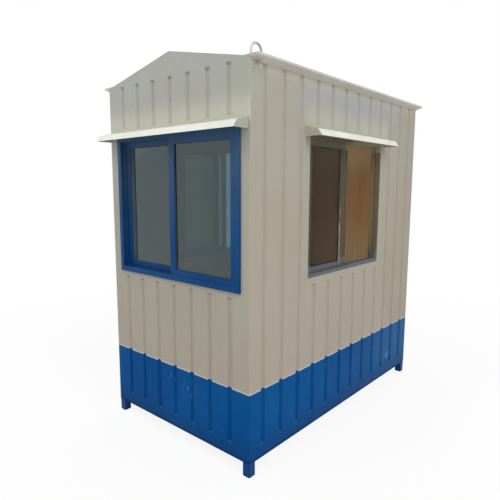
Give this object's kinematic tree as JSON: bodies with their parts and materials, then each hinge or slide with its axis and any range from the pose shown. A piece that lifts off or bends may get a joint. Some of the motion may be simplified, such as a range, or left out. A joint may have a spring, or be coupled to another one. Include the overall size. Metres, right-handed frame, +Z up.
{
  "type": "security guard booth",
  "caption": "Portable steel guard booth on short legs, with pressed groove walls, a low gable roof, sliding windows under folded awnings and a hinged door.",
  "frame": {"origin": "on the ground under the centre of the plan", "axes": "+Z up, the front gable with the wide window faces -Y, the long right side faces +X"},
  "size_m": [1.442, 2.232, 2.317],
  "materials": {
    "blue_base_paint": "glossy enamel, scuffed",
    "cream_wall_paint": "satin enamel, cream above a blue band",
    "white_awning_paint": "satin enamel",
    "blue_window_paint": "blue powder coat",
    "bronze_window_frame": "dark bronze anodised",
    "grey_glass": "clear polished",
    "bronze_glass": "bronze tinted, polished",
    "brown_lining": "laminated board",
    "floor_board": "matt sheet on board",
    "cream_door_paint": "satin enamel",
    "door_steel": "zinc plated",
    "lifting_steel": "painted round bar"
  },
  "bodies": {
    "root": {"back_awning": "white_awning_paint", "back_wall_lining": "brown_lining", "back_wall_sheet": "cream_wall_paint", "base_rail_back": "blue_base_paint", "base_rail_front": "blue_base_paint", "base_rail_left": "blue_base_paint", "base_rail_right": "blue_base_paint", "ceiling_board": "brown_lining", "corner_post_back_left": "blue_base_paint", "corner_post_back_right": "blue_base_paint", "corner_post_front_left": "blue_base_paint", "corner_post_front_right": "blue_base_paint", "door_frame": "cream_door_paint", "door_handle": "door_steel", "door_hinges": "door_steel", "door_leaf": "cream_door_paint", "door_lining": "brown_lining", "eave_trim_left": "cream_wall_paint", "eave_trim_right": "cream_wall_paint", "floor_board": "floor_board", "floor_joists": "blue_base_paint", "front_awning": "white_awning_paint", "front_wall_lining": "brown_lining", "front_wall_sheet": "cream_wall_paint", "front_window_frame": "blue_window_paint", "front_window_glass": "grey_glass", "front_window_inner_sash": "blue_window_paint", "front_window_outer_sash": "blue_window_paint", "left_awning": "white_awning_paint", "left_wall_lining": "brown_lining", "left_wall_sheet": "cream_wall_paint", "left_window_frame": "bronze_window_frame", "left_window_glass": "bronze_glass", "left_window_inner_sash": "bronze_window_frame", "left_window_outer_sash": "bronze_window_frame", "lifting_loops": "lifting_steel", "right_awning": "white_awning_paint", "right_wall_lining": "brown_lining", "right_wall_sheet": "cream_wall_paint", "right_window_frame": "bronze_window_frame", "right_window_glass": "bronze_glass", "right_window_inner_sash": "bronze_window_frame", "right_window_outer_sash": "bronze_window_frame", "roof_sheet_left": "cream_wall_paint", "roof_sheet_right": "cream_wall_paint"}
  },
  "joints": []
}
